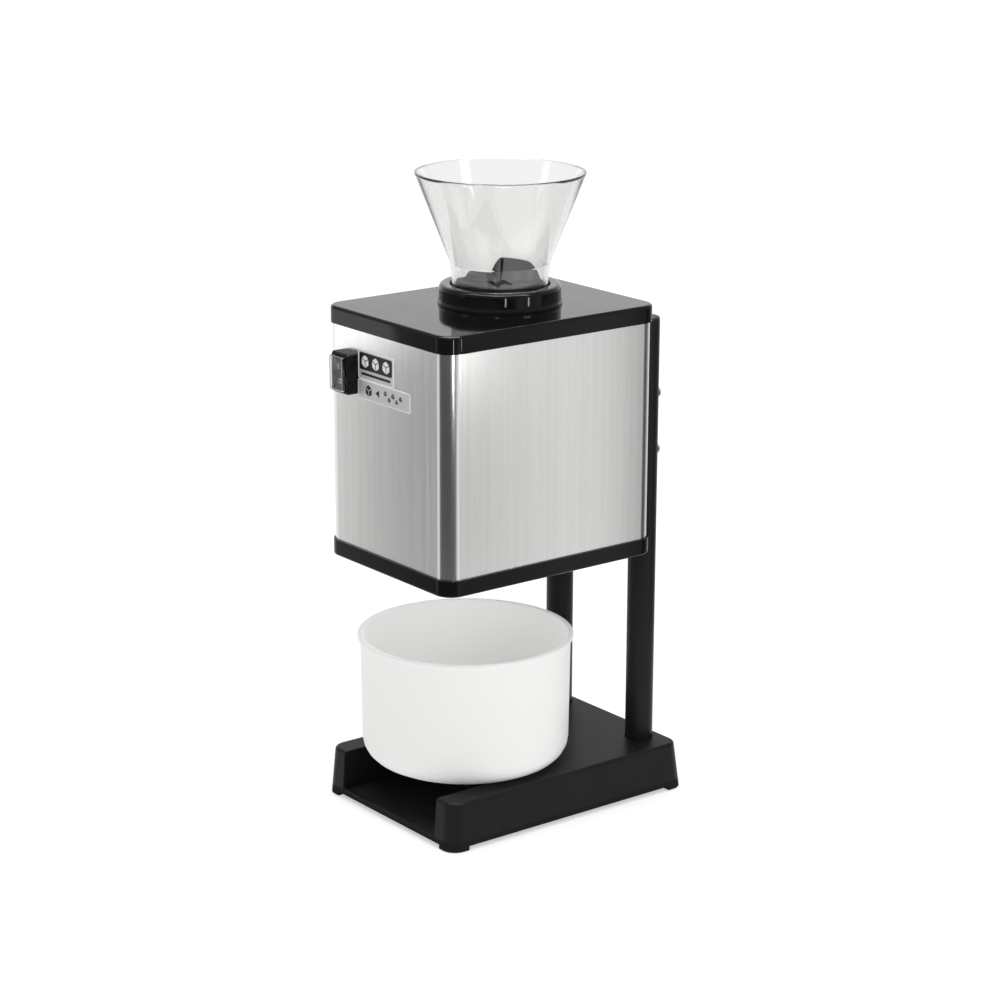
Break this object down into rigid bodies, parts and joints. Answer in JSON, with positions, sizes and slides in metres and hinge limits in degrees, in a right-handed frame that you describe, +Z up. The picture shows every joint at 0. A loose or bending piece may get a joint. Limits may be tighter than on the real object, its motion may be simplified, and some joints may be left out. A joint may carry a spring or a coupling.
{
  "type": "ice crusher",
  "caption": "Table-top ice crusher: steel-wrapped motor housing with a clear funnel hopper, held on two tube columns over a base with a loose white bowl.",
  "frame": {"origin": "middle of the whole object's footprint box, on the surface it stands on", "axes": "+Z up; -Y is the front with the switch; +X is the object's left when it faces you, the side of the gear case; all drive shafts run along X"},
  "size_m": [0.1572, 0.2286, 0.465],
  "materials": {
    "base_black": "satin black moulding with a fine texture",
    "rubber_black": "matt black rubber",
    "tube_black": "satin black powder coat on steel tube",
    "cap_black": "satin black plastic",
    "zinc_steel": "zinc-plated steel",
    "screw_steel": "bright plated steel",
    "wrap_steel": "stainless steel brushed upright",
    "tray_black": "gloss black moulding",
    "cover_black": "high gloss black moulding",
    "collar_black": "high gloss black moulding",
    "clear_plastic": "clear moulded plastic",
    "bowl_white": "white moulding with a soft sheen",
    "cast_alloy": "cast aluminium",
    "blade_steel": "ground stainless steel",
    "bronze": "sintered bronze",
    "gear_nylon": "natural nylon",
    "pinion_steel": "hardened steel",
    "case_black": "glass-filled nylon",
    "chute_black": "black moulding",
    "lamination": "stacked electrical steel",
    "copper": "lacquered copper wire",
    "fan_grey": "dark grey moulding",
    "switch_black": "black moulding",
    "boot_clear": "clear flexible vinyl",
    "plunger_red": "red moulding",
    "block_cream": "cream nylon",
    "capacitor_alloy": "drawn aluminium can",
    "badge_dark": "printed metal plate, no lettering",
    "label_silver": "blank film label"
  },
  "bodies": {
    "machine": {"base": "base_black", "foot_pads": "rubber_black", "column_left": "tube_black", "column_right": "tube_black", "column_inserts": "zinc_steel", "column_base_screws": "zinc_steel", "column_caps": "cap_black", "column_bars": "zinc_steel", "column_screws": "screw_steel", "steel_wrap": "wrap_steel", "rear_panel": "wrap_steel", "bottom_tray": "tray_black", "top_cover": "cover_black", "tie_screws": "zinc_steel", "hopper_collar": "collar_black", "splash_guard": "rubber_black", "crusher_drum": "cast_alloy", "breaker_comb": "blade_steel", "comb_screws": "zinc_steel", "outlet_chute": "chute_black", "shaft_bushes": "bronze", "idler_shaft": "zinc_steel", "gear_plate": "cast_alloy", "gear_cover": "case_black", "gear_cover_screws": "zinc_steel", "motor_front_cap": "cast_alloy", "motor_stator": "lamination", "motor_windings": "copper", "motor_rear_cap": "cast_alloy", "motor_bearings": "zinc_steel", "motor_stand": "zinc_steel", "switch_block": "switch_black", "switch_body": "switch_black", "switch_boot": "boot_clear", "interlock_switch": "switch_black", "terminal_block": "block_cream", "run_capacitor": "capacitor_alloy", "cord_grommet": "rubber_black", "badge_plate": "badge_dark", "label_strip": "label_silver", "rating_plate": "label_silver"},
    "hopper": {"hopper": "clear_plastic"},
    "interlock_plunger": {"interlock_plunger": "plunger_red"},
    "bowl": {"bowl": "bowl_white"},
    "rocker": {"rocker": "switch_black"},
    "blade_rotor": {"blade_shaft": "blade_steel", "crusher_blades": "blade_steel", "blade_spacers": "blade_steel", "drive_gear": "gear_nylon", "shaft_circlips": "pinion_steel"},
    "idler": {"idler_gear": "gear_nylon"},
    "armature": {"motor_rotor": "lamination", "motor_pinion": "pinion_steel", "motor_fan": "fan_grey"}
  },
  "joints": [
    {"name": "bowl_slide", "type": "slide", "parent": "machine", "child": "bowl", "axis": [0, -1, 0], "range_m": [0, 0.18]},
    {"name": "hopper_lift", "type": "slide", "parent": "machine", "child": "hopper", "axis": [0, 0, 1], "range_m": [0, 0.09]},
    {"name": "plunger_rise", "type": "slide", "parent": "machine", "child": "interlock_plunger", "axis": [0, 0, 1], "range_m": [0, 0.003]},
    {"name": "rocker_tilt", "type": "hinge", "parent": "machine", "child": "rocker", "pos_m": [-0.043, -0.10702, 0.3271], "axis": [-1, 0, 0], "range_deg": [0, 14]},
    {"name": "blade_spin", "type": "hinge", "parent": "machine", "child": "blade_rotor", "pos_m": [0, -0.00168, 0.3003], "axis": [1, 0, 0], "continuous": true},
    {"name": "idler_spin", "type": "hinge", "parent": "machine", "child": "idler", "pos_m": [0, -0.04401, 0.28925], "axis": [1, 0, 0], "continuous": true},
    {"name": "motor_spin", "type": "hinge", "parent": "machine", "child": "armature", "pos_m": [0, -0.06367, 0.2603], "axis": [1, 0, 0], "continuous": true}
  ],
  "couplings": [
    {"joint": "plunger_rise", "follows": "hopper_lift", "ratio": 0.033333},
    {"joint": "idler_spin", "follows": "blade_spin", "ratio": -4},
    {"joint": "motor_spin", "follows": "blade_spin", "ratio": 16}
  ]
}
